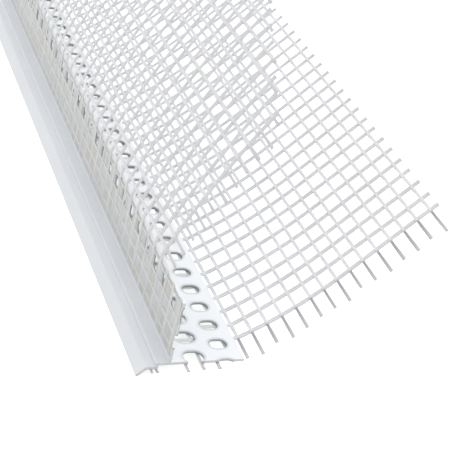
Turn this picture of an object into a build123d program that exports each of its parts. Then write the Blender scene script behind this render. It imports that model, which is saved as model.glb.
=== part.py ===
from build123d import *
import math
import os

# A drip edge profile for thermal insulation and render: one extruded PVC profile
# with two strips of glass-fibre mesh bonded to its legs. Millimetres, +Z up, +Y along
# the length, +X out along the flat leg.

# Length that the profile is sold in
LENGTH = 2000.0

# PVC section: thin walls, with the drip nose on the far side of the upright leg
WALL = 0.9
FLAT_LEG_REACH = 23.0
UPRIGHT_LEG_RISE = 21.5
NOSE_LEDGE = 3.6
NOSE_STEP_DROP = 1.3
NOSE_SHELF = 3.0
DRIP_LIP_DROP = 2.3
DRIP_LIP_SLOPE = 44.0

# Punched slots: two staggered rows on each leg, long across the leg
SLOT_PITCH = 8.8
OUTER_ROW = 17.2
INNER_ROW = 7.9
OUTER_SLOT_LENGTH = 5.7
OUTER_SLOT_WIDTH = 4.3
INNER_SLOT_LENGTH = 6.4
INNER_SLOT_WIDTH = 5.3
FIRST_OUTER_SLOT = 7.3
FIRST_INNER_SLOT = 2.1
PITCHES_PER_STRETCH = 8

# Mesh yarns: flat crosswise yarns on the PVC, and lengthwise yarns outside them. A bend of
# a strip is drawn in arcs that rise no more than ARC_RISE over their chords
CROSS_YARN_WIDTH = 1.35
LENGTHWISE_YARN_WIDTH = 1.05
YARN_THICKNESS = 0.4
CROSS_YARN_PITCH = 6.4
LENGTHWISE_YARN_PITCH = 4.9
STRIP_EDGE = 3.0
ARC_RISE = 0.18

# Facade strip: under the shelf and the flat leg, then out and up in a curve
FACADE_SHELF_HOLD = 2.4
FACADE_STEP_RADIUS = 1.5
FACADE_FREE_WIDTH = 73.3
FACADE_BEND_RADIUS = 3.0
FACADE_LEAVING_ANGLE = 31.0
FACADE_SWEEP_RADIUS = 150.0
FACADE_END_ANGLE = 46.5
FACADE_FIRST_CROSS_YARN = 10.3
FACADE_YARN_OVERHANG = 2.5

# Soffit strip: on the outer face of the upright leg, then out over it in a curve. At the
# front its free part is trimmed back, so the first crosswise yarns end at the leg's top,
# and its free corner is cut off obliquely
SOFFIT_LOWER_END = 2.5
SOFFIT_FREE_WIDTH = 80.0
SOFFIT_BEND_RADIUS = 6.0
SOFFIT_LEAVING_LEAN = 22.0
SOFFIT_SWEEP_RADIUS = 300.0
SOFFIT_END_LEAN = 36.0
SOFFIT_FIRST_CROSS_YARN = 1.8
SOFFIT_TRIMMED_YARNS = 3
SOFFIT_YARN_LEAD = 1.2
SOFFIT_FREE_YARN_LEAD = 8.8
SOFFIT_CORNER_CUT_WIDTH = 29.0
SOFFIT_CORNER_CUT_LENGTH = 68.0


def stood_up(shape):
    """Turn a shape drawn in XY, with its depth along Z, so that Y becomes Z."""
    return Rot(90, 0, 0) * shape


def perforated_leg(reach, start, length):
    """Stretch of one leg, flat in the XY plane from X = 0, with its two slot rows."""
    plate = Pos(reach / 2, start + length / 2) * Rectangle(reach, length)
    outer = SlotOverall(OUTER_SLOT_LENGTH, OUTER_SLOT_WIDTH)
    inner = SlotOverall(INNER_SLOT_LENGTH, INNER_SLOT_WIDTH)
    before = math.floor(start / SLOT_PITCH) - 1
    after = math.ceil((start + length) / SLOT_PITCH) + 1
    slots = []
    for step in range(before, after):
        slots.append(Pos(OUTER_ROW, FIRST_OUTER_SLOT + step * SLOT_PITCH) * outer)
        slots.append(Pos(INNER_ROW, FIRST_INNER_SLOT + step * SLOT_PITCH) * inner)
    return Pos(0, 0, -WALL / 2) * extrude(plate - slots, amount=WALL)


def nose(start, length):
    """Ledge, step, shelf and drip lip beyond the upright leg, as one bent wall."""
    ledge_end = -NOSE_LEDGE
    knee = ledge_end - NOSE_SHELF
    lip_run = DRIP_LIP_DROP / math.tan(math.radians(DRIP_LIP_SLOPE))
    wall_line = Polyline(
        (0, 0),
        (ledge_end, 0),
        (ledge_end, -NOSE_STEP_DROP),
        (knee, -NOSE_STEP_DROP),
        (knee - lip_run, -NOSE_STEP_DROP - DRIP_LIP_DROP),
    )
    section = make_face(offset(wall_line, amount=WALL / 2, side=Side.BOTH))
    return Pos(0, start, 0) * stood_up(extrude(section, amount=-length))


def profile_stretch(start, length):
    """Flat leg, upright leg and nose over one stretch of the profile."""
    flat_leg = perforated_leg(FLAT_LEG_REACH, start, length)
    upright_leg = Rot(0, -90, 0) * perforated_leg(UPRIGHT_LEG_RISE, start, length)
    return (flat_leg + upright_leg + nose(start, length)).solid()


def profile():
    """The whole PVC extrusion in one piece. Its slots repeat, so one stretch of slots
    is drawn once, repeated along the length and joined to the two cut end stretches."""
    repeat = PITCHES_PER_STRETCH * SLOT_PITCH
    front = FIRST_INNER_SLOT + repeat
    count = int((LENGTH - front) / repeat)
    back = front + count * repeat
    middle = profile_stretch(front, repeat)
    stretches = [Pos(0, step * repeat, 0) * middle for step in range(count)]
    stretches.append(profile_stretch(back, LENGTH - back))
    return profile_stretch(0, front).fuse(*stretches)


class StripPath:
    """Middle line of a strip in the XZ plane: straight runs and tangent arcs."""

    def __init__(self, start, heading):
        self.point = Vector(*start)
        self.heading = heading
        self.pieces = []

    def direction(self):
        angle = math.radians(self.heading)
        return Vector(math.cos(angle), math.sin(angle))

    def run(self, length):
        end = self.point + self.direction() * length
        self.pieces.append(Line(self.point, end))
        self.point = end
        return self

    def turn(self, radius, angle):
        arcs = math.ceil(math.radians(abs(angle)) / math.sqrt(8 * ARC_RISE / radius))
        for _ in range(arcs):
            self.arc(radius, angle / arcs)
        return self

    def arc(self, radius, angle):
        side = math.copysign(1, angle)
        centre = self.point + Vector(-self.direction().Y, self.direction().X) * (side * radius)
        middle = self.point.sub(centre).rotate(Axis.Z, angle / 2) + centre
        end = self.point.sub(centre).rotate(Axis.Z, angle) + centre
        self.pieces.append(ThreePointArc(self.point, middle, end))
        self.point = end
        self.heading += angle

    def wire(self):
        return Wire([piece.edge() for piece in self.pieces])


def arc_length(radius, angle):
    return radius * math.radians(abs(angle))


def facade_path():
    """Under the shelf, up past the step, along the flat leg, a bend at its edge, and a
    long upward sweep."""
    drop = math.degrees(math.acos(1 - NOSE_STEP_DROP / (2 * FACADE_STEP_RADIUS)))
    rise_reach = 2 * FACADE_STEP_RADIUS * math.sin(math.radians(drop))
    rise_start = -NOSE_LEDGE + WALL / 2 + YARN_THICKNESS
    sweep = FACADE_END_ANGLE - FACADE_LEAVING_ANGLE
    bent = arc_length(FACADE_BEND_RADIUS, FACADE_LEAVING_ANGLE)
    bent += arc_length(FACADE_SWEEP_RADIUS, sweep)
    level = -NOSE_STEP_DROP - WALL / 2 - YARN_THICKNESS / 2
    path = StripPath((rise_start - FACADE_SHELF_HOLD, level), 0)
    path.run(FACADE_SHELF_HOLD)
    path.turn(FACADE_STEP_RADIUS, drop)
    path.turn(FACADE_STEP_RADIUS, -drop)
    path.run(FLAT_LEG_REACH - rise_start - rise_reach)
    path.turn(FACADE_BEND_RADIUS, FACADE_LEAVING_ANGLE)
    path.turn(FACADE_SWEEP_RADIUS, sweep)
    return path.run(FACADE_FREE_WIDTH - bent).wire()


def soffit_path():
    """Up the outer face of the upright leg, a bend at its top, and a long outward sweep."""
    sweep = SOFFIT_END_LEAN - SOFFIT_LEAVING_LEAN
    bent = arc_length(SOFFIT_BEND_RADIUS, SOFFIT_LEAVING_LEAN)
    bent += arc_length(SOFFIT_SWEEP_RADIUS, sweep)
    path = soffit_glued_path()
    path.turn(SOFFIT_BEND_RADIUS, -SOFFIT_LEAVING_LEAN)
    path.turn(SOFFIT_SWEEP_RADIUS, -sweep)
    return path.run(SOFFIT_FREE_WIDTH - bent).wire()


def soffit_glued_path():
    """The part of the soffit strip that is bonded to the upright leg."""
    path = StripPath((-WALL / 2 - YARN_THICKNESS / 2, SOFFIT_LOWER_END), 90)
    return path.run(UPRIGHT_LEG_RISE - SOFFIT_LOWER_END)


def cross_yarns(path, first, count):
    """Flat yarns that follow the strip's section, one at each pitch."""
    ribbon = make_face(offset(path, amount=YARN_THICKNESS / 2, kind=Kind.TANGENT, side=Side.BOTH))
    yarn = stood_up(extrude(ribbon, amount=-CROSS_YARN_WIDTH))
    front = first - CROSS_YARN_WIDTH / 2
    return [Pos(0, front + step * CROSS_YARN_PITCH, 0) * yarn for step in range(count)]


def cross_yarn_count(first):
    """How many crosswise yarns fit from the first to the far end."""
    return int((LENGTH - CROSS_YARN_WIDTH - first) / CROSS_YARN_PITCH) + 1


def lengthwise_yarns(path, held_width, held_start, free_start, outer_side):
    """Straight yarns along the length, on the strip's outer side, one at each pitch.
    Those within held_width of the strip's inner edge start at held_start."""
    inner_room = path.length - STRIP_EDGE - LENGTHWISE_YARN_WIDTH / 2
    count = int(inner_room / LENGTHWISE_YARN_PITCH) + 1
    yarns = []
    for step in range(count):
        along = path.length - STRIP_EDGE - step * LENGTHWISE_YARN_PITCH
        start = held_start if along < held_width else free_start
        place = path.position_at(along / path.length)
        tangent = path.tangent_at(along / path.length)
        normal = Vector(-tangent.Y, tangent.X) * outer_side
        centre = place + normal * YARN_THICKNESS
        slope = math.degrees(math.atan2(tangent.Y, tangent.X))
        bar = Rot(0, 0, slope) * Rectangle(LENGTHWISE_YARN_WIDTH, YARN_THICKNESS)
        section = Pos(centre.X, centre.Y) * bar
        yarns.append(Pos(0, start, 0) * stood_up(extrude(section, amount=start - LENGTH)))
    return yarns


def corner_cut(path, start):
    """Oblique plane, square to the strip, that cuts its free corner off at the front."""
    inner = path.position_at(1 - SOFFIT_CORNER_CUT_WIDTH / path.length)
    outer = path.position_at(1)
    across = outer - inner
    slant = Vector(across.X, SOFFIT_CORNER_CUT_LENGTH, across.Y)
    strip_normal = Vector(-across.Y, 0, across.X)
    return Plane((inner.X, start, inner.Y), z_dir=strip_normal.cross(slant))


def kept_behind(yarns, plane):
    """The yarns without what lies in front of the plane."""
    return [yarn.split(plane, keep=Keep.TOP) for yarn in yarns]


facade = facade_path()
soffit = soffit_path()
soffit_glued = soffit_glued_path().wire()
first_full_yarn = SOFFIT_FIRST_CROSS_YARN + SOFFIT_TRIMMED_YARNS * CROSS_YARN_PITCH
soffit_free_start = first_full_yarn - SOFFIT_FREE_YARN_LEAD
soffit_cut = corner_cut(soffit, soffit_free_start)
nodes = {
    "pvc_profile": [profile()],
    "facade_mesh_cross_yarns": cross_yarns(
        facade, FACADE_FIRST_CROSS_YARN, cross_yarn_count(FACADE_FIRST_CROSS_YARN)
    ),
    "facade_mesh_lengthwise_yarns": lengthwise_yarns(
        facade, facade.length, -FACADE_YARN_OVERHANG, -FACADE_YARN_OVERHANG, -1
    ),
    "soffit_mesh_cross_yarns": cross_yarns(
        soffit_glued, SOFFIT_FIRST_CROSS_YARN, SOFFIT_TRIMMED_YARNS
    ) + kept_behind(
        cross_yarns(soffit, first_full_yarn, cross_yarn_count(first_full_yarn)), soffit_cut
    ),
    "soffit_mesh_lengthwise_yarns": kept_behind(
        lengthwise_yarns(
            soffit,
            soffit_glued.length,
            SOFFIT_FIRST_CROSS_YARN - SOFFIT_YARN_LEAD,
            soffit_free_start,
            1,
        ),
        soffit_cut,
    ),
}

# Stand the part on its lowest point, centred over the origin
box = Compound([solid for solids in nodes.values() for solid in solids]).bounding_box()
to_frame = Pos(-box.center().X, -box.center().Y, -box.min.Z)
print("moved by", to_frame.position)

os.makedirs("parts", exist_ok=True)
for name, solids in nodes.items():
    export_step(
        Compound([to_frame * solid for solid in solids]), f"parts/{name}.step", write_pcurves=False
    )
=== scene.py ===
# %% [markdown]
# # A drip edge profile with mesh
# The object is a length of white PVC trim for the lower edge of an insulated wall. It has
# a flat leg and an upright leg, both punched with slots, a bent nose that lets the rain
# drip off, and a strip of glass-fibre mesh bonded to each leg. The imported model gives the
# pieces at their real size. This lesson gives them the look of the real ones.

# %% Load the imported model
import math

import bpy
import numpy as np
from mathutils import Matrix, Vector


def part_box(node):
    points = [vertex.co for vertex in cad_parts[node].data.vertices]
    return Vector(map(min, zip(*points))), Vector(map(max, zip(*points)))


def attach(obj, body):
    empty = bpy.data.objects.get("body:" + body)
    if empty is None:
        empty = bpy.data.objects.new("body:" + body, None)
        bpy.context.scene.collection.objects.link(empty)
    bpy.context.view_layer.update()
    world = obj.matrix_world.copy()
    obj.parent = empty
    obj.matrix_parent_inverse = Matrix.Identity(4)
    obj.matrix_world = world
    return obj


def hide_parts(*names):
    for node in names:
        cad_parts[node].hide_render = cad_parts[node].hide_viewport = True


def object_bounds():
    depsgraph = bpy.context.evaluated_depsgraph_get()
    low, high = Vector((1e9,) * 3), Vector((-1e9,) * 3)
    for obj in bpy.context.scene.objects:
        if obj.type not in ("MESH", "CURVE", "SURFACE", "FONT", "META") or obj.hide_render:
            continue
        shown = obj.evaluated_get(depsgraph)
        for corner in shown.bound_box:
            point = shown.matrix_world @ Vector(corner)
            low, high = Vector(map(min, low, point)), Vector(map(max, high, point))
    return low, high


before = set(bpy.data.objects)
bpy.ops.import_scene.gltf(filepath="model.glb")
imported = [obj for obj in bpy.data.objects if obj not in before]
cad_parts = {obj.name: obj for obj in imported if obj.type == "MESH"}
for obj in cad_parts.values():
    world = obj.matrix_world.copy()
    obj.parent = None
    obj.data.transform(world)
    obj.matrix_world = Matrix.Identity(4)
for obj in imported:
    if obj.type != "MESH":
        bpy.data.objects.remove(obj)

MM = 0.001
cad_low, cad_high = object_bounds()
print("nodes", sorted(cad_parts))
print("box in mm", [round(v / MM, 1) for v in (*cad_low, *cad_high)])

# %% [markdown]
# Everything on the profile is measured from the corner where the middles of the two legs
# meet, at the front end. The profile's own box gives that corner, so nothing has to be
# fitted by eye: the flat leg ends at the box's right side, and the upright leg at its top.

# %% Find the corner of the two legs
WALL = 0.9 * MM
FLAT_LEG_REACH = 23.0 * MM
UPRIGHT_LEG_RISE = 21.5 * MM
profile_low, profile_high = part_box("pvc_profile")
corner = Vector(
    (profile_high.x - FLAT_LEG_REACH, profile_low.y, profile_high.z - UPRIGHT_LEG_RISE)
)
LENGTH = profile_high.y - profile_low.y
print("corner in mm", [round(v / MM, 2) for v in corner], "length", round(LENGTH / MM, 1))

# %% [markdown]
# ## The camera
# The photograph looks down the length from just in front of the cut end, from the side of
# the nose. The lens is long and the camera is rolled, so the flat leg leans in the picture.
# A camera that tracks a point can't roll by itself, so the roll is turned in afterwards
# about the camera's own viewing axis.

# %% Place the camera
CAMERA_FROM_CORNER = Vector((-117.6, -240.5, 212.0)) * MM
TARGET_FROM_CORNER = Vector((15.0, 17.9, 35.2)) * MM
CAMERA_ROLL = math.radians(14.8)
LENS_MM = 96.0
SENSOR_MM = 36.0
NEAREST_SEEN = 10.0 * MM


def aim_camera(place, target, roll):
    """A camera at place that looks at target, rolled about its own viewing axis."""
    data = bpy.data.cameras.new("photo_camera")
    camera = bpy.data.objects.new("photo_camera", data)
    bpy.context.collection.objects.link(camera)
    turn = (target - place).to_track_quat("-Z", "Y").to_matrix()
    turn = turn @ Matrix.Rotation(roll, 3, "Z")
    camera.matrix_world = Matrix.Translation(place) @ turn.to_4x4()
    data.lens = LENS_MM
    data.sensor_width = SENSOR_MM
    data.clip_start = NEAREST_SEEN
    return camera


camera = aim_camera(corner + CAMERA_FROM_CORNER, corner + TARGET_FROM_CORNER, CAMERA_ROLL)
bpy.context.scene.camera = camera
print("camera in m", [round(v, 3) for v in camera.location])

# %% [markdown]
# ## Sums written as nodes
# The floor, the world and the finishes all need small sums, such as a distance, a mask or
# the larger of two values. By hand, each step of a sum is a node that is dragged in and
# wired. Two short helpers do the same here, so that a sum reads much as it does on paper.

# %% Write the helpers for sums
RISING = (0.0, 1.0)
FALLING = (1.0, 0.0)


def reckon(tree, operation, *given, clamp=False):
    """The result of a math operation on sockets or plain numbers."""
    node = tree.nodes.new("ShaderNodeMath")
    node.operation = operation
    node.use_clamp = clamp
    for socket, value in zip(node.inputs, given):
        if isinstance(value, (int, float)):
            socket.default_value = value
        else:
            tree.links.new(value, socket)
    return node.outputs[0]


def ranged(tree, value, given, wanted):
    """A value mapped from the given (low, high) to the wanted (low, high), clamped."""
    node = tree.nodes.new("ShaderNodeMapRange")
    for name, number in zip(("From Min", "From Max", "To Min", "To Max"), (*given, *wanted)):
        node.inputs[name].default_value = number
    tree.links.new(value, node.inputs["Value"])
    return node.outputs["Result"]


def new_material(name):
    """A new material with its node tree and its main shader."""
    material = bpy.data.materials.new(name)
    material.use_nodes = True
    return material, material.node_tree, material.node_tree.nodes["Principled BSDF"]


# %% [markdown]
# ## Floor and light
# The photograph is a cut-out on white. A white floor under a white world gives that, and
# the camera sees the world at a strength of one, which is white. The floor adds a little
# light of its own for the camera and for reflections, so it stays white but keeps the soft
# shadow, and the object gets no more light from it.

# %% Make the floor
FLOOR_SIZE = 12.0
FLOOR_COLOUR = (0.78, 0.78, 0.78, 1.0)
FLOOR_ROUGHNESS = 0.9
FLOOR_GLOW = 0.70
WHITE = (1.0, 1.0, 1.0, 1.0)

bpy.ops.object.select_all(action="DESELECT")
bpy.ops.mesh.primitive_plane_add(size=FLOOR_SIZE, location=(0.0, 0.0, cad_low.z))
floor = bpy.context.object
floor.name = "floor"


def seen_directly(tree):
    """One for rays that show a surface to the camera, straight or by gloss or glass."""
    rays = tree.nodes.new("ShaderNodeLightPath").outputs
    bounced = reckon(tree, "MAXIMUM", rays["Is Glossy Ray"], rays["Is Transmission Ray"])
    return reckon(tree, "MAXIMUM", rays["Is Camera Ray"], bounced)


def floor_material():
    """White floor: lit like paper, with a little glow that lights nothing."""
    material, tree, surface = new_material("white_floor")
    surface.inputs["Base Color"].default_value = FLOOR_COLOUR
    surface.inputs["Roughness"].default_value = FLOOR_ROUGHNESS
    surface.inputs["Emission Color"].default_value = WHITE
    glow = reckon(tree, "MULTIPLY", seen_directly(tree), FLOOR_GLOW)
    tree.links.new(glow, surface.inputs["Emission Strength"])
    return material


floor.data.materials.append(floor_material())
print("floor at mm", round(cad_low.z / MM, 2), "size in m", FLOOR_SIZE)

# %% [markdown]
# The world is an even white dome. It lights the object at a little less than full strength,
# because the lamps add the rest, and pale surfaces would clip to white otherwise.

# %% Make the world
WORLD_LIGHT = 0.82
WORLD_SEEN = 1.0


def white_world():
    """Even white light. The camera, and gloss and glass, see it at full white."""
    world = bpy.data.worlds.new("white_studio")
    world.use_nodes = True
    tree = world.node_tree
    tree.nodes.clear()
    light = tree.nodes.new("ShaderNodeBackground")
    light.inputs["Color"].default_value = WHITE
    strength = ranged(tree, seen_directly(tree), RISING, (WORLD_LIGHT, WORLD_SEEN))
    tree.links.new(strength, light.inputs["Strength"])
    output = tree.nodes.new("ShaderNodeOutputWorld")
    tree.links.new(light.outputs["Background"], output.inputs["Surface"])
    return world


bpy.context.scene.world = white_world()
bpy.context.scene.view_settings.view_transform = "Standard"
print("world light", WORLD_LIGHT, "seen as", WORLD_SEEN)

# %% [markdown]
# Two large soft lamps hang on the side of the flat leg, one above the front end and one
# further along. They brighten the flat leg and let the upright leg's outer face and the cut
# faces go greyer, as in the photograph. A large lamp close by gives soft shadows.

# %% Hang the lamps
LAMP_WATTS = 11.0
front_spot = corner + Vector((0.03, 0.20, 0.03))
LAMPS = {
    "key_lamp": (front_spot + Vector((0.5, 0.3, 1.6)), front_spot, 1.4),
    "back_lamp": (Vector((0.4, 1.3, 1.6)), Vector((0.0, 0.6, 0.0)), 1.6),
}


def soft_lamp(name, place, target, size):
    """A square area lamp at place that faces target."""
    data = bpy.data.lights.new(name, "AREA")
    data.size = size
    data.energy = LAMP_WATTS
    lamp = bpy.data.objects.new(name, data)
    bpy.context.collection.objects.link(lamp)
    turn = (target - place).to_track_quat("-Z", "Y")
    lamp.matrix_world = Matrix.Translation(place) @ turn.to_matrix().to_4x4()


for name, (place, target, size) in LAMPS.items():
    soft_lamp(name, place, target, size)
print("lamps", list(LAMPS), "watts each", LAMP_WATTS)

# %% [markdown]
# ## Shared effect: drawn streaks
# Both materials are drawn through a die, so both carry fine lines along one direction: the
# PVC along the profile and the yarns along their filaments. A noise stretched along that
# direction makes them. It is one node group, placed in each material with its own values.

# %% Build the streak group
STREAK_DETAIL = 3.0
STREAK_MIDDLE = 0.5
STREAK_SOCKETS = (
    ("Vector", "INPUT", "NodeSocketVector"),
    ("Scale", "INPUT", "NodeSocketFloat"),
    ("Contrast", "INPUT", "NodeSocketFloat"),
    ("Streaks", "OUTPUT", "NodeSocketFloat"),
)


def streak_group():
    """Noise stretched by the caller's vector, given out as a value round the middle."""
    group = bpy.data.node_groups.new("drawn_streaks", "ShaderNodeTree")
    for name, side, kind in STREAK_SOCKETS:
        group.interface.new_socket(name, in_out=side, socket_type=kind)
    given = group.nodes.new("NodeGroupInput").outputs
    noise = group.nodes.new("ShaderNodeTexNoise")
    noise.inputs["Detail"].default_value = STREAK_DETAIL
    group.links.new(given["Vector"], noise.inputs["Vector"])
    group.links.new(given["Scale"], noise.inputs["Scale"])
    centred = reckon(group, "SUBTRACT", noise.outputs["Fac"], STREAK_MIDDLE)
    spread = reckon(
        group, "MULTIPLY_ADD", centred, given["Contrast"], STREAK_MIDDLE, clamp=True
    )
    result = group.nodes.new("NodeGroupOutput")
    group.links.new(spread, result.inputs["Streaks"])
    return group


drawn_streaks = streak_group()
print("streak group sockets", [s.name for s in drawn_streaks.interface.items_tree])

# %% [markdown]
# The finishes need a few more helpers: the streak group put in place, a pattern stretched
# along an axis, a vector split into its axes, mixes of two colours or values, and a bump.

# %% Write the helpers for finishes


def place_streaks(tree, vector, scale, contrast):
    """The streak group in a node tree, fed with a vector socket."""
    node = tree.nodes.new("ShaderNodeGroup")
    node.node_tree = drawn_streaks
    node.inputs["Scale"].default_value = scale
    node.inputs["Contrast"].default_value = contrast
    tree.links.new(vector, node.inputs["Vector"])
    return node.outputs["Streaks"]


def stretched(tree, vector, scale):
    """A vector socket scaled along its axes."""
    node = tree.nodes.new("ShaderNodeMapping")
    node.inputs["Scale"].default_value = scale
    tree.links.new(vector, node.inputs["Vector"])
    return node.outputs["Vector"]


def split_axes(tree, vector):
    """The X, Y and Z of a vector socket."""
    node = tree.nodes.new("ShaderNodeSeparateXYZ")
    tree.links.new(vector, node.inputs["Vector"])
    return node.outputs["X"], node.outputs["Y"], node.outputs["Z"]


def mixed_value(tree, amount, first, second):
    """A value between two sockets, first at an amount of 0 and second at 1."""
    change = reckon(tree, "SUBTRACT", second, first)
    return reckon(tree, "MULTIPLY_ADD", amount, change, first)


def mixed_colour(tree, amount, first, second):
    """A colour between first and second by amount. Each may be a colour or a socket."""
    node = tree.nodes.new("ShaderNodeMix")
    node.data_type = "RGBA"
    factor, colours, result = node.inputs[0], node.inputs[6:8], node.outputs[2]
    tree.links.new(amount, factor)
    for socket, given in zip(colours, (first, second)):
        if isinstance(given, tuple):
            socket.default_value = given
        else:
            tree.links.new(given, socket)
    return result


def bumped(tree, height, strength, distance):
    """A normal from a height socket."""
    node = tree.nodes.new("ShaderNodeBump")
    node.inputs["Strength"].default_value = strength
    node.inputs["Distance"].default_value = distance
    tree.links.new(height, node.inputs["Height"])
    return node.outputs["Normal"]


# %% [markdown]
# ## The PVC
# Both legs are punched with two rows of slots. The finish follows them, so it has to know
# how far each place is from the nearest slot. A slot's outline is a straight bar with round
# ends, so that distance is a short sum, repeated along the profile at the slots' pitch.

# %% Measure the distance to the nearest slot
SLOT_PITCH = 8.8 * MM
OUTER_SLOTS = {"row": 17.2 * MM, "first": 7.3 * MM, "long": 5.7 * MM, "wide": 4.3 * MM}
INNER_SLOTS = {"row": 7.9 * MM, "first": 2.1 * MM, "long": 6.4 * MM, "wide": 5.3 * MM}


def slot_edge(tree, across, along, row, first, long, wide):
    """Distance from the outline of the nearest slot of a row, below zero inside it."""
    aside = reckon(tree, "ABSOLUTE", reckon(tree, "SUBTRACT", across, row))
    aside = reckon(tree, "MAXIMUM", reckon(tree, "SUBTRACT", aside, (long - wide) / 2), 0.0)
    turns = reckon(tree, "DIVIDE", reckon(tree, "SUBTRACT", along, first), SLOT_PITCH)
    rest = reckon(tree, "SUBTRACT", turns, reckon(tree, "ROUND", turns))
    off = reckon(tree, "MULTIPLY", rest, SLOT_PITCH)
    squares = reckon(tree, "MULTIPLY_ADD", off, off, reckon(tree, "MULTIPLY", aside, aside))
    return reckon(tree, "SUBTRACT", reckon(tree, "SQRT", squares), wide / 2)


print("slots along a row, about", int(LENGTH / SLOT_PITCH))

# %% [markdown]
# Four kinds of place differ from the plain PVC. The punch rounds the rim of each slot, and the
# rim is coloured grey as painted shade of that rounding. The walls of the slots look along the
# sheet, and their far half is coloured dark as painted shade deep inside the slot.
# The saw leaves the two cut ends duller and greyer: those faces look along the length. The
# outer face of the upright leg carries glue under the mesh: it looks away from the flat leg
# and lies above the lower edge of the strip. Each kind becomes a mask, worked out from the
# place and the normal of the surface, so nothing has to be painted or unwrapped.

# %% Mask the rims, the punched walls, the saw cuts and the glue
RIM = 1.0 * MM
FLAT_LEG_FROM = WALL / 2 + 0.1 * MM
EDGE_ON_FACING = (0.3, 0.5)
PUNCHED_WITHIN = 0.4 * MM
# Depth through the sheet over which the painted shade on the far slot walls fades in.
WALL_SHADE_DEPTH = (-0.15 * WALL, 0.2 * WALL)
SAWN_FACING = (0.985, 0.999)
OUTWARD_FACING = (-0.90, -0.98)
STRIP_FOOT = 2.5 * MM
FOOT_BLUR = 0.3 * MM


def pvc_masks(tree, place):
    """Masks of the slots' rims and far walls, where shade is painted, the saw cuts and the
    glued face.
    """
    x, y, z = split_axes(tree, place)
    normal = tree.nodes.new("ShaderNodeNewGeometry").outputs["True Normal"]
    facing_x, facing_y, facing_z = split_axes(tree, normal)
    reach = reckon(tree, "SUBTRACT", x, corner.x)
    along = reckon(tree, "SUBTRACT", y, corner.y)
    rise = reckon(tree, "SUBTRACT", z, corner.z)

    on_flat = reckon(tree, "GREATER_THAN", reach, FLAT_LEG_FROM)
    across = mixed_value(tree, on_flat, rise, reach)
    edges = [slot_edge(tree, across, along, **row) for row in (OUTER_SLOTS, INNER_SLOTS)]
    edge = reckon(tree, "MINIMUM", *edges)
    # The rim mask places painted shade of the rounded rim, and it also drives the bump below.
    rim = ranged(tree, edge, (0.0, RIM), FALLING)

    through = reckon(tree, "ABSOLUTE", mixed_value(tree, on_flat, facing_x, facing_z))
    edge_on = ranged(tree, through, EDGE_ON_FACING, FALLING)
    beside_slot = reckon(tree, "LESS_THAN", edge, PUNCHED_WITHIN)
    wall = reckon(tree, "MULTIPLY", edge_on, beside_slot)
    depth = mixed_value(tree, on_flat, reach, reckon(tree, "MULTIPLY", rise, -1.0))
    # Painted shade: the far half of each slot wall, the part that lies deep in the slot, is
    # coloured dark.
    far_wall_shade = reckon(tree, "MULTIPLY", wall, ranged(tree, depth, WALL_SHADE_DEPTH, RISING))

    sawn = ranged(tree, reckon(tree, "ABSOLUTE", facing_y), SAWN_FACING, RISING)
    above = ranged(tree, rise, (STRIP_FOOT - FOOT_BLUR, STRIP_FOOT + FOOT_BLUR), RISING)
    outward = ranged(tree, facing_x, OUTWARD_FACING, RISING)
    glued = reckon(tree, "MULTIPLY", above, outward)
    return rim, far_wall_shade, sawn, glued


# %% [markdown]
# Extruded PVC is a cool satin white with faint lines along its length and slight clouds in
# the colour. The masks lay the other colours over it: grey on the rims as painted shade, the
# glue in smears of grey and beige, the sawn faces, and dark on the far half of the slot walls
# as painted shade. The rims are also tilted by a bump, so that they catch the light as a
# rounded edge does.

# %% Make the PVC finish
PVC_WHITE = (0.83, 0.85, 0.88, 1.0)
PVC_SHADE = (0.79, 0.81, 0.84, 1.0)
PVC_SAWN = (0.68, 0.69, 0.68, 1.0)
# The next two colours are painted shade: grey for the rounded slot rims, dark for the far half
# of the slot walls.
PAINTED_RIM_SHADE = (0.66, 0.71, 0.72, 1.0)
PAINTED_WALL_SHADE = (0.36, 0.37, 0.35, 1.0)
GLUE_GREY = (0.60, 0.63, 0.645, 1.0)
GLUE_BEIGE = (0.55, 0.53, 0.48, 1.0)
DIE_LINES = {"scale": 900.0, "contrast": 1.6}
ALONG_PROFILE = (1.0, 0.012, 1.0)
PVC_CLOUDS = {"scale": 45.0, "contrast": 1.8}
CLOUD_SHADE = (0.0, 0.6)
GLUE_SMEARS = {"scale": 460.0, "contrast": 4.5}
UP_THE_LEG = (1.0, 1.0, 0.22)
NOISE_RANGE = (0.2, 0.8)
PVC_ROUGHNESS = (0.30, 0.42)
PVC_SPECULAR = 0.45
DIE_LINE_HEIGHT = 0.06
PVC_BUMP = 0.5
RIM_DROP = 0.5 * MM


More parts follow.
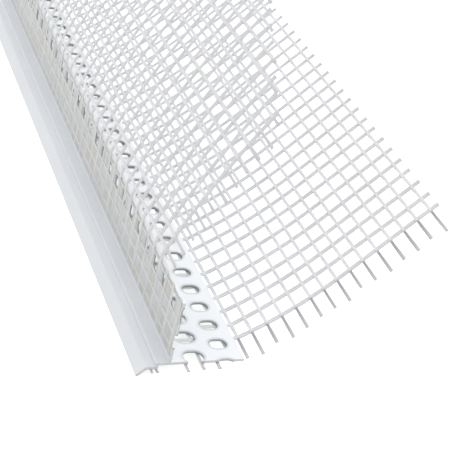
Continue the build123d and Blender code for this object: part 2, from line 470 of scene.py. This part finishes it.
def pvc_material():
    """Satin white extruded PVC with painted shade on its slot rims and far slot walls, its saw
    cuts and glue.
    """
    material, tree, surface = new_material("white_pvc")
    place = tree.nodes.new("ShaderNodeTexCoord").outputs["Object"]
    lines = place_streaks(tree, stretched(tree, place, ALONG_PROFILE), **DIE_LINES)
    clouds = place_streaks(tree, place, **PVC_CLOUDS)
    smears = place_streaks(tree, stretched(tree, place, UP_THE_LEG), **GLUE_SMEARS)
    rim, far_wall_shade, sawn, glued = pvc_masks(tree, place)

    shade = ranged(tree, clouds, NOISE_RANGE, CLOUD_SHADE)
    colour = mixed_colour(tree, shade, PVC_WHITE, PVC_SHADE)
    glue = mixed_colour(tree, smears, GLUE_GREY, GLUE_BEIGE)
    # The rim and wall layers are painted shade; the glue and the saw cuts are colours of the
    # PVC itself.
    layers = ((rim, PAINTED_RIM_SHADE), (glued, glue), (sawn, PVC_SAWN), (far_wall_shade, PAINTED_WALL_SHADE))
    for mask, finish in layers:
        colour = mixed_colour(tree, mask, colour, finish)
    tree.links.new(colour, surface.inputs["Base Color"])

    roughness = ranged(tree, lines, NOISE_RANGE, PVC_ROUGHNESS)
    tree.links.new(roughness, surface.inputs["Roughness"])
    raised = reckon(tree, "MULTIPLY", lines, DIE_LINE_HEIGHT)
    height = reckon(tree, "SUBTRACT", raised, reckon(tree, "MULTIPLY", rim, rim))
    tree.links.new(bumped(tree, height, PVC_BUMP, RIM_DROP), surface.inputs["Normal"])
    surface.inputs["Specular IOR Level"].default_value = PVC_SPECULAR
    return material


white_pvc = pvc_material()
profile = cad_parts["pvc_profile"]
profile.data.materials.clear()
profile.data.materials.append(white_pvc)
print("profile faces", len(profile.data.polygons))

# %% [markdown]
# ## The glass-fibre yarns
# Each strip is a leno weave: flat crosswise yarns, and lengthwise yarns in pairs that twist
# half a turn between one crosswise yarn and the next, so one of the pair passes over it and
# the other under it. A coat of resin locks the crossings. The filaments show as fine lines
# along each yarn, so their pattern follows the yarn's own UV map. How much a place is glued
# or cut bare is a value that the mesh carries at its points.

# %% Make the yarn finish
CROSSWISE_GREY = (0.76, 0.765, 0.77, 1.0)
LENGTHWISE_WHITE = (0.86, 0.865, 0.885, 1.0)
CUT_END_LILAC = (0.27, 0.265, 0.30, 1.0)
GLUED_GREY = (0.63, 0.64, 0.63, 1.0)
DULL_SHARE = 0.86
FILAMENTS = {"scale": 1.0, "contrast": 2.2}
ALONG_YARN = (0.06, 9.0, 1.0)
YARN_CLOUDS = {"scale": 160.0, "contrast": 2.0}
GLUE_SPOTS = {"given": (0.35, 0.65), "wanted": (0.5, 1.0)}
BARE_FILAMENTS = {"given": (0.25, 0.75), "wanted": (0.55, 1.0)}
YARN_ROUGHNESS = (0.32, 0.55)
FILAMENT_BUMP = 0.35
FILAMENT_HEIGHT = 0.08 * MM


def carried(tree, name):
    """A value that the mesh carries at its points."""
    node = tree.nodes.new("ShaderNodeAttribute")
    node.attribute_name = name
    return node.outputs["Fac"]


def yarn_material(name, colour):
    """Coated glass yarn: fine filaments, darker cut ends, dull where it is glued."""
    material, tree, surface = new_material(name)
    wrap = tree.nodes.new("ShaderNodeUVMap")
    wrap.uv_map = "yarn"
    along = stretched(tree, wrap.outputs["UV"], ALONG_YARN)
    filaments = place_streaks(tree, along, **FILAMENTS)
    place = tree.nodes.new("ShaderNodeTexCoord").outputs["Object"]
    clouds = place_streaks(tree, place, **YARN_CLOUDS)

    dull = tuple(DULL_SHARE * part for part in colour[:3]) + (1.0,)
    base = mixed_colour(tree, clouds, colour, dull)
    spots = ranged(tree, clouds, **GLUE_SPOTS)
    glued = reckon(tree, "MULTIPLY", carried(tree, "glued"), spots)
    base = mixed_colour(tree, glued, base, GLUED_GREY)
    strands = ranged(tree, filaments, **BARE_FILAMENTS)
    bare = reckon(tree, "MULTIPLY", carried(tree, "cut_end"), strands)
    base = mixed_colour(tree, bare, base, CUT_END_LILAC)
    tree.links.new(base, surface.inputs["Base Color"])

    roughness = ranged(tree, filaments, NOISE_RANGE, YARN_ROUGHNESS)
    tree.links.new(roughness, surface.inputs["Roughness"])
    normal = bumped(tree, filaments, FILAMENT_BUMP, FILAMENT_HEIGHT)
    tree.links.new(normal, surface.inputs["Normal"])
    return material


crosswise_finish = yarn_material("crosswise_yarn_finish", CROSSWISE_GREY)
lengthwise_finish = yarn_material("lengthwise_yarn_finish", LENGTHWISE_WHITE)
print("yarn finishes", crosswise_finish.name, lengthwise_finish.name)

# %% [markdown]
# A strip is bent only across its width, so its shape is one line in the section: straight
# runs and arcs. The line is walked in small steps, and any distance along it then gives a
# place and a direction.

# %% Write the walk along a section line
STEP = 0.25 * MM


def walk(start, heading, moves):
    """Distances, places and headings along a line of (length, turn) moves in the section."""
    places = [start]
    headings = [heading]
    for run, turn in moves:
        steps = max(1, round(run / STEP))
        for _ in range(steps):
            heading += turn / steps / 2
            x, z = places[-1]
            stride = run / steps
            places.append((x + stride * math.cos(heading), z + stride * math.sin(heading)))
            heading += turn / steps / 2
            headings.append(heading)
    points = np.array(places)
    gaps = np.hypot(*np.diff(points, axis=0).T)
    return np.concatenate([[0.0], np.cumsum(gaps)]), points, np.array(headings)


def on_line(line, distance):
    """Place, direction and normal of a section line at given distances."""
    along, points, headings = line
    x = np.interp(distance, along, points[:, 0])
    z = np.interp(distance, along, points[:, 1])
    angle = np.interp(distance, along, headings)
    zero = np.zeros_like(x)
    place = np.stack([x, zero, z], -1)
    tangent = np.stack([np.cos(angle), zero, np.sin(angle)], -1)
    normal = np.stack([-np.sin(angle), zero, np.cos(angle)], -1)
    return place, tangent, normal


def arc(radius, degrees):
    """A move that turns by degrees on a radius."""
    turn = math.radians(degrees)
    return radius * abs(turn), turn


# %% [markdown]
# The facade strip starts under the shelf of the nose, climbs the step, follows the flat leg
# and then sweeps upwards. The soffit strip climbs the outer face of the upright leg and
# leans over the flat leg. Both lie half a yarn off the PVC.

# %% Walk the two strips
YARN_THICKNESS = 0.4 * MM


def facade_line():
    """Under the shelf, up past the step, along the flat leg, a bend, then a long sweep."""
    ledge, step_drop, step_radius, shelf_hold = 3.6 * MM, 1.3 * MM, 1.5 * MM, 2.4 * MM
    leaving, ending, free_width = 31.0, 46.5, 73.3 * MM
    bend_radius, sweep_radius = 3.0 * MM, 150.0 * MM
    climb = math.degrees(math.acos(1 - step_drop / (2 * step_radius)))
    climb_reach = 2 * step_radius * math.sin(math.radians(climb))
    climb_start = -ledge + WALL / 2 + YARN_THICKNESS
    bend = arc(bend_radius, leaving)
    sweep = arc(sweep_radius, ending - leaving)
    start = (
        corner.x + climb_start - shelf_hold,
        corner.z - step_drop - WALL / 2 - YARN_THICKNESS / 2,
    )
    flat = FLAT_LEG_REACH - climb_start - climb_reach
    tail = free_width - bend[0] - sweep[0]
    moves = [(shelf_hold, 0.0), arc(step_radius, climb), arc(step_radius, -climb), (flat, 0.0)]
    return walk(start, 0.0, moves + [bend, sweep, (tail, 0.0)])


def soffit_line():
    """Up the outer face of the upright leg, a bend at its top, then a long sweep."""
    leaving, ending, free_width = 22.0, 36.0, 80.0 * MM
    bend_radius, sweep_radius = 6.0 * MM, 300.0 * MM
    bend = arc(bend_radius, -leaving)
    sweep = arc(sweep_radius, leaving - ending)
    start = (corner.x - WALL / 2 - YARN_THICKNESS / 2, corner.z + STRIP_FOOT)
    rise = UPRIGHT_LEG_RISE - STRIP_FOOT
    tail = free_width - bend[0] - sweep[0]
    return walk(start, math.pi / 2, [(rise, 0.0), bend, sweep, (tail, 0.0)])


facade = facade_line()
soffit = soffit_line()
facade_width = facade[0][-1]
soffit_width = soffit[0][-1]
print("strip widths in mm", round(facade_width / MM, 1), round(soffit_width / MM, 1))

# %% [markdown]
# There are thousands of crossings, so the yarns are worked out as arrays and joined into one
# mesh for each layer of yarns. Every yarn is a chain of small rings. The rings of like yarns
# go into one array, a bundle, and neighbouring rings are joined by faces. The first and last
# ring of a yarn are closed, because a cut yarn shows its end.

# %% Turn rings into a mesh
SHARP_EDGE = math.radians(50.0)


def bundle_faces(rings, offset):
    """Faces of rings[yarn, step, side, xyz], and the UV of each face corner in that order."""
    yarns, steps, sides, _ = rings.shape
    index = offset + np.arange(yarns * steps * sides).reshape(yarns, steps, sides)
    ahead = np.roll(index, -1, axis=2)
    quads = np.stack([index[:, :-1], ahead[:, :-1], ahead[:, 1:], index[:, 1:]], -1)
    strides = np.linalg.norm(np.diff(rings.mean(axis=2), axis=1), axis=-1)
    along = np.concatenate([np.zeros((yarns, 1)), np.cumsum(strides, axis=1)], axis=1) / MM
    along = np.broadcast_to(along[:, :, None], index.shape)
    around = np.broadcast_to(np.arange(sides) / sides, index.shape)
    beside = around + 1 / sides
    quad_u = np.stack([along[:, :-1], along[:, :-1], along[:, 1:], along[:, 1:]], -1)
    quad_v = np.stack([around[:, :-1], beside[:, :-1], beside[:, 1:], around[:, 1:]], -1)
    front, back = (slice(None), 0, slice(None, None, -1)), (slice(None), -1)
    faces = quads.reshape(-1, 4).tolist() + index[front].tolist() + index[back].tolist()
    u = [quad_u.reshape(-1), along[front].reshape(-1), along[back].reshape(-1)]
    v = [quad_v.reshape(-1), around[front].reshape(-1), around[back].reshape(-1)]
    return faces, np.stack([np.concatenate(u), np.concatenate(v)], -1)


def ring_mesh(name, bundles, finish):
    """One piece from bundles of (rings, cut_end, glued), with a UV map and two attributes."""
    points, faces, wraps = [], [], []
    values = {"cut_end": [], "glued": []}
    for rings, cut_end, glued in bundles:
        new_faces, wrap = bundle_faces(rings, sum(len(part) for part in points))
        points.append(rings.reshape(-1, 3))
        faces += new_faces
        wraps.append(wrap)
        for title, value in (("cut_end", cut_end), ("glued", glued)):
            spread = np.broadcast_to(np.asarray(value)[:, :, None], rings.shape[:3])
            values[title].append(spread.reshape(-1))
    mesh = bpy.data.meshes.new(name)
    mesh.from_pydata(np.concatenate(points).tolist(), [], faces)
    wrap = np.concatenate(wraps).astype(np.float32)
    mesh.uv_layers.new(name="yarn").data.foreach_set("uv", wrap.reshape(-1))
    for title, parts in values.items():
        layer = mesh.attributes.new(title, "FLOAT", "POINT")
        layer.data.foreach_set("value", np.concatenate(parts).astype(np.float32))
    mesh.materials.append(finish)
    mesh.shade_smooth()
    mesh.set_sharp_from_angle(angle=SHARP_EDGE)
    piece = bpy.data.objects.new(name, mesh)
    bpy.context.collection.objects.link(piece)
    print(name, "triangles", sum(len(face) - 2 for face in faces))
    return piece


# %% [markdown]
# Two small helpers give a yarn its form: the offsets of one flattened ring, and a slow
# wander, different for each yarn, because no woven yarn lies quite straight.

# %% Write the ring and the wander
WANDER_WAVES = (0.6, 1.8)


def ring(sides, half_wide, half_thick):
    """Offsets of a flattened ring: across the yarn, and through it."""
    angle = (np.arange(sides) + 0.5) * 2 * np.pi / sides
    return half_wide * np.cos(angle), half_thick * np.sin(angle)


def wander(chance, count, steps, size):
    """Slow wobble for count yarns over steps places."""
    phase = chance.uniform(0, 2 * np.pi, (count, 1))
    waves = chance.uniform(*WANDER_WAVES, (count, 1))
    reach = chance.normal(0, size, (count, 1))
    sway = np.linspace(0, 2 * np.pi, steps)[None]
    return reach * np.sin(waves * sway + phase)


# %% [markdown]
# ## Crosswise yarns
# They are flat ribbons that follow the section line from edge to edge. The twisted pairs
# pinch them a little at each crossing, and each one gets its own slow wander along the
# length. Where a strip is glued, the ribbons are pressed thin against the PVC. The packed
# model's narrower bars set how many yarns there are.

# %% Shape the crosswise yarns
PACKED_WIDTH = 1.35 * MM
CROSS_WIDTH = 1.85 * MM
CROSS_THICKNESS = 0.5 * MM
LENGTHWISE_PITCH = 4.9 * MM
STRIP_EDGE = 3.0 * MM
CROSS_SIDES = 6
PINCHED = 0.92
SWOLLEN = 1.05
PRESSED_AWAY = 0.82
PRESSED_OVER = 1.0 * MM
CROSS_WANDER = 0.16 * MM
CROSS_SHIFT = 0.10 * MM
CROSS_END_DARK = 0.15
CROSS_END_LENGTH = 1.5 * MM
CROSS_SEED = 11


def pair_places(line):
    """Distances along the section line of the lengthwise pairs."""
    width = line[0][-1]
    count = int((width - STRIP_EDGE - PACKED_WIDTH / 2) / LENGTHWISE_PITCH) + 1
    return (width - STRIP_EDGE - np.arange(count) * LENGTHWISE_PITCH)[::-1]


def crosswise_bundle(line, places, widths, glued_width, outer_side):
    """Flat yarns at the given places along the length, each as wide as widths says.

    outer_side is 1 where the normal points away from the PVC, and -1 where it points at it.
    """
    chance = np.random.default_rng(CROSS_SEED)
    widest = widths.max()
    pairs = pair_places(line)
    pairs = pairs[pairs < widest]
    middles = (pairs[1:] + pairs[:-1]) / 2
    stops = np.sort(np.concatenate([[0.0], pairs, middles, [widest]]))
    pinch = np.where(np.isin(stops, pairs), PINCHED, SWOLLEN)
    count = len(places)
    along = stops[None] * widths[:, None] / widest
    place, _, normal = on_line(line, along)
    across, through = ring(CROSS_SIDES, CROSS_WIDTH / 2, CROSS_THICKNESS / 2)
    shift = wander(chance, count, len(stops), CROSS_WANDER)
    shift = shift + chance.normal(0, CROSS_SHIFT, (count, 1))
    glued = np.clip((glued_width - along) / PRESSED_OVER, 0, 1)
    pressed = PRESSED_AWAY * glued[:, :, None]
    height = through[None, None] * (1 - pressed) - outer_side * pressed * YARN_THICKNESS / 2
    rings = place[:, :, None, :] + normal[:, :, None, :] * height[..., None]
    rings[..., 1] += (places[:, None] + shift)[:, :, None]
    rings[..., 1] += across[None, None, :] * pinch[None, :, None]
    from_end = (widths[:, None] - along) / CROSS_END_LENGTH
    cut_end = np.clip(1 - from_end, 0, 1) * CROSS_END_DARK
    return rings, cut_end, glued


print("pairs across the strips", len(pair_places(facade)), len(pair_places(soffit)))

# %% [markdown]
# At the front the soffit strip is trimmed: three ribbons end at the leg's top, and the next
# ones grow longer along an oblique cut. The facade strip is cut square.

# %% Lay the crosswise yarns
CROSS_PITCH = 6.4 * MM
TRIMMED_YARNS = 3
TRIMMED_PAST_GLUE = 0.6 * MM
FACADE_GLUED = 28.4 * MM
SOFFIT_GLUED = 19.0 * MM
FACADE_FIRST = corner.y + 10.3 * MM
TRIMMED_FIRST = corner.y + 1.8 * MM
SOFFIT_FIRST = TRIMMED_FIRST + TRIMMED_YARNS * CROSS_PITCH
SOFFIT_FREE_START = SOFFIT_FIRST - 8.8 * MM
CORNER_CUT_WIDTH = 29.0 * MM
CORNER_CUT_LENGTH = 68.0 * MM


def places_to_back(first):
    """Places of the crosswise yarns from the first to the far end."""
    count = int((corner.y + LENGTH - PACKED_WIDTH - first) / CROSS_PITCH) + 1
    return first + np.arange(count) * CROSS_PITCH


facade_places = places_to_back(FACADE_FIRST)
facade_widths = np.full(len(facade_places), facade_width)
facade_bundle = crosswise_bundle(facade, facade_places, facade_widths, FACADE_GLUED, -1)

trimmed_places = TRIMMED_FIRST + np.arange(TRIMMED_YARNS) * CROSS_PITCH
trimmed_widths = np.full(TRIMMED_YARNS, SOFFIT_GLUED + TRIMMED_PAST_GLUE)
trimmed_bundle = crosswise_bundle(soffit, trimmed_places, trimmed_widths, SOFFIT_GLUED, 1)

soffit_places = places_to_back(SOFFIT_FIRST)
past_cut = (soffit_places - SOFFIT_FREE_START) / CORNER_CUT_LENGTH
soffit_widths = soffit_width - CORNER_CUT_WIDTH * np.clip(1 - past_cut, 0, 1)
soffit_bundle = crosswise_bundle(soffit, soffit_places, soffit_widths, SOFFIT_GLUED, 1)

cross_bundles = {"facade": [facade_bundle], "soffit": [trimmed_bundle, soffit_bundle]}
cross_pieces = {}
for strip, bundles in cross_bundles.items():
    cross_pieces[strip] = ring_mesh(f"{strip}_crosswise_yarns", bundles, crosswise_finish)

# %% [markdown]
# ## Lengthwise pairs
# The two yarns of a pair run round each other on a flat helix, half a turn for each
# crosswise yarn, starting with one over and one under. Where a strip is glued, the helix is
# pressed flat. Near the front, where the eye is close, the helix has more steps. In front of
# its first crosswise yarn nothing holds a pair, so its two ends run straight and spread.

# %% Shape the lengthwise pairs
PAIR_SIDES = 4
SQUARE_RING = 1.4
CLOSE_PITCHES = 48
CLOSE_STEPS = 4
FAR_STEPS = 2
STRAND_WIDE = 0.90 * MM
STRAND_THICK = 0.20 * MM
SIDE_SWING = 0.13 * MM
OVER_SWING = 0.24 * MM
GLUED_SWING = 0.03 * MM
GLUED_TINT = 0.25
PAIR_WANDER = 0.12 * MM
LEAD_STEPS = np.array([1.0, 0.8, 0.55, 0.3, 0.12])
LOOSE_CALM = 0.8
LOOSE_SLIM = 0.1
LOOSE_SPREAD = (0.10, 0.26)
PAIR_SEED = 23


def helix_steps(first):
    """Twist in crosswise pitches, from the first crosswise yarn to the far end."""
    close = np.arange(CLOSE_PITCHES * CLOSE_STEPS) / CLOSE_STEPS
    total = (corner.y + LENGTH - first) / CROSS_PITCH
    far = np.arange(CLOSE_PITCHES, total, 1 / FAR_STEPS)
    return np.concatenate([close, far, [total]])


def strand_bundle(line, pairs, first, cuts, ends, glued, hand):
    """One yarn of each pair; hand picks the one that starts over or the one under.

    ends says of each pair how dark its cut end is, at its root and at its tip, and how far
    its two yarns spread there. glued is the width that is glued, how slim a pair is there
    and how far it is lifted along the normal.
    """
    chance = np.random.default_rng(PAIR_SEED)
    count = len(pairs)
    twist = helix_steps(first)
    lead = (first - cuts)[:, None] * LEAD_STEPS[None]
    held = np.broadcast_to(first + twist * CROSS_PITCH, (count, len(twist)))
    y = np.concatenate([first - lead, held], axis=1)
    turn = np.concatenate([np.zeros(len(LEAD_STEPS)), twist])[None] * np.pi + np.pi / 2
    loose = np.concatenate([LEAD_STEPS, np.zeros(len(twist))])[None]
    dark_root, dark_tip, spread = ends.T[:, :, None]
    glued_width, glued_slim, glued_lift = glued
    flat = (pairs < glued_width)[:, None]

    swing = np.where(flat, GLUED_SWING, OVER_SWING)
    over = swing * np.sin(turn) * hand * (1 - LOOSE_CALM * loose) + flat * glued_lift
    splay = chance.uniform(*LOOSE_SPREAD, (count, 1)) * spread * MM
    side = SIDE_SWING * np.cos(turn) * hand + hand * loose * splay
    side = side + wander(chance, count, y.shape[1], PAIR_WANDER)
    place, tangent, normal = on_line(line, pairs)
    centre = place[:, None] + tangent[:, None] * side[..., None]
    centre = centre + normal[:, None] * over[..., None]
    centre[..., 1] = y

    half_ring = SQUARE_RING / 2
    through, across = ring(PAIR_SIDES, STRAND_THICK * half_ring, STRAND_WIDE * half_ring)
    slim = (1 - LOOSE_SLIM * loose) * np.where(flat, glued_slim, 1.0)
    rings = normal[:, None, None, :] * through[None, None, :, None]
    rings = rings + tangent[:, None, None, :] * across[None, None, :, None]
    rings = centre[:, :, None, :] + rings * slim[:, :, None, None]
    from_tip = (y - cuts[:, None]) / (first - cuts[:, None])
    cut_end = np.where(loose > 0, dark_tip + (dark_root - dark_tip) * from_tip, 0.0)
    return rings, cut_end, np.broadcast_to(flat * GLUED_TINT, y.shape)


print("steps along a facade pair", len(LEAD_STEPS) + len(helix_steps(FACADE_FIRST)))

# %% [markdown]
# Each pair is cut where the shears met it, so neighbouring ends differ a little. The facade
# pairs stand out in front of their first crosswise yarn, bare and dark in the open and
# paler under the leg. The two yarns under the shelf have come apart.

# %% Cut the facade pairs
RAGGED = 0.7 * MM
LEAD_UNDER_LEG = 12.6 * MM
LEAD_IN_OPEN = 9.8 * MM
LEAD_SHORT = 7.5 * MM
ENDS_UNDER_LEG = (0.2, 0.55, 1.0)
ENDS_IN_OPEN = (0.95, 0.4, 1.0)
SHELF_SPREAD = 4.0
SHELF_PAIR = 0
STEP_PAIR = 1


def ragged(count):
    """Small differences between the cut ends of neighbouring pairs."""
    return np.random.default_rng(PAIR_SEED + 1).normal(0, RAGGED, count)


facade_pairs = pair_places(facade)
under_leg = facade_pairs < FACADE_GLUED
last_under_leg = under_leg.sum() - 1
facade_lead = np.where(under_leg, LEAD_UNDER_LEG, LEAD_IN_OPEN)
facade_lead[[STEP_PAIR, last_under_leg]] = LEAD_SHORT
facade_cuts = FACADE_FIRST - facade_lead + ragged(len(facade_pairs))
facade_ends = np.where(under_leg[:, None], ENDS_UNDER_LEG, ENDS_IN_OPEN)
facade_ends[SHELF_PAIR, -1] = SHELF_SPREAD
print("facade pairs", len(facade_pairs), "under the leg", under_leg.sum())

# %% [markdown]
# The soffit pairs on the leg start with its three trimmed yarns. The free ones start on the
# oblique cut, each at the first crosswise yarn that still holds it.

# %% Cut the soffit pairs
HELD_BEHIND = 2.0 * MM
LEG_LEAD = 1.2 * MM
LEG_RAGGED_SHARE = 1 / 3
ENDS_ON_LEG = (0.0, 0.1, 1.0)
ENDS_ON_CUT = (0.25, 0.3, 1.0)

soffit_pairs = pair_places(soffit)
past_corner = np.clip(soffit_pairs - soffit_width + CORNER_CUT_WIDTH, 0, None)
soffit_cuts = SOFFIT_FREE_START + past_corner * CORNER_CUT_LENGTH / CORNER_CUT_WIDTH
soffit_cuts = soffit_cuts + ragged(len(soffit_pairs))
yarns_cut = np.ceil((soffit_cuts + HELD_BEHIND - SOFFIT_FIRST) / CROSS_PITCH).clip(0)
soffit_firsts = SOFFIT_FIRST + yarns_cut * CROSS_PITCH
on_leg = soffit_pairs < SOFFIT_GLUED
soffit_cuts[on_leg] = TRIMMED_FIRST - LEG_LEAD + ragged(on_leg.sum()) * LEG_RAGGED_SHARE
soffit_firsts[on_leg] = TRIMMED_FIRST
soffit_ends = np.where(on_leg[:, None], ENDS_ON_LEG, ENDS_ON_CUT)
print("soffit pairs", len(soffit_pairs), "on the leg", on_leg.sum())

# %% [markdown]
# A strip's yarns that start over and those that start under become two pieces, which keeps
# each mesh light. On the upright leg the pairs are pressed into thin lines that lie in the
# crosswise yarns, and under the flat leg they keep most of their width.

# %% Twist the lengthwise pairs
FACADE_GLUED_SLIM = 0.9
SOFFIT_GLUED_SLIM = 0.42
SOFFIT_GLUED_LIFT = -0.12 * MM
facade_glued = (FACADE_GLUED, FACADE_GLUED_SLIM, 0.0)
soffit_glued = (SOFFIT_GLUED, SOFFIT_GLUED_SLIM, SOFFIT_GLUED_LIFT)

pair_pieces = {}
for hand, word in ((1, "over"), (-1, "under")):
    strands = strand_bundle(
        facade, facade_pairs, FACADE_FIRST, facade_cuts, facade_ends, facade_glued, hand
    )
    name = f"facade_lengthwise_{word}"
    pair_pieces[name] = ring_mesh(name, [strands], lengthwise_finish)
    bundles = []
    for first in np.unique(soffit_firsts):
        like = soffit_firsts == first
        pairs, cuts, ends = soffit_pairs[like], soffit_cuts[like], soffit_ends[like]
        bundles.append(strand_bundle(soffit, pairs, first, cuts, ends, soffit_glued, hand))
    name = f"soffit_lengthwise_{word}"
    pair_pieces[name] = ring_mesh(name, bundles, lengthwise_finish)

# %% [markdown]
# ## Glue film
# The glue that holds the soffit strip is rolled on with the mesh. On the lower half of the
# leg it runs together into a thin film, which closes the inner row of slots from outside.
# It is a ribbon with the PVC's own finish and an upper edge that wanders a little, made of
# four-sided rings as the yarns are.

# %% Roll on the glue film
FILM_TOP = 11.9 * MM
FILM_WANDER = 0.2 * MM
FILM_THICKNESS = 0.06 * MM
FILM_STEPS = 500
FILM_SEED = 31


def film_bundle():
    """A thin ribbon on the outer face of the upright leg, from end to end."""
    chance = np.random.default_rng(FILM_SEED)
    y = np.linspace(corner.y, corner.y + LENGTH, FILM_STEPS)
    top = corner.z + FILM_TOP + chance.normal(0, FILM_WANDER, FILM_STEPS)
    foot = np.full(FILM_STEPS, corner.z + STRIP_FOOT)
    inner = np.full(FILM_STEPS, corner.x - WALL / 2)
    outer = inner - FILM_THICKNESS
    sides = [(inner, top), (inner, foot), (outer, foot), (outer, top)]
    rings = np.stack([np.stack([x, y, z], -1) for x, z in sides], axis=1)[None]
    none = np.zeros((1, FILM_STEPS))
    return rings, none, none


glue_film = ring_mesh("glue_film", [film_bundle()], white_pvc)
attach(glue_film, "root")

# %% [markdown]
# ## Tie the pieces to the model
# Each layer of yarns stands for the plain bars of the imported model. All of it moves as one
# body, because nothing on the profile moves.

# %% Ride and replace
for strip, piece in cross_pieces.items():
    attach(piece, "root")
    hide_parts(f"{strip}_mesh_cross_yarns")
for name, piece in pair_pieces.items():
    strip = name.split("_")[0]
    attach(piece, "root")
    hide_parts(f"{strip}_mesh_lengthwise_yarns")
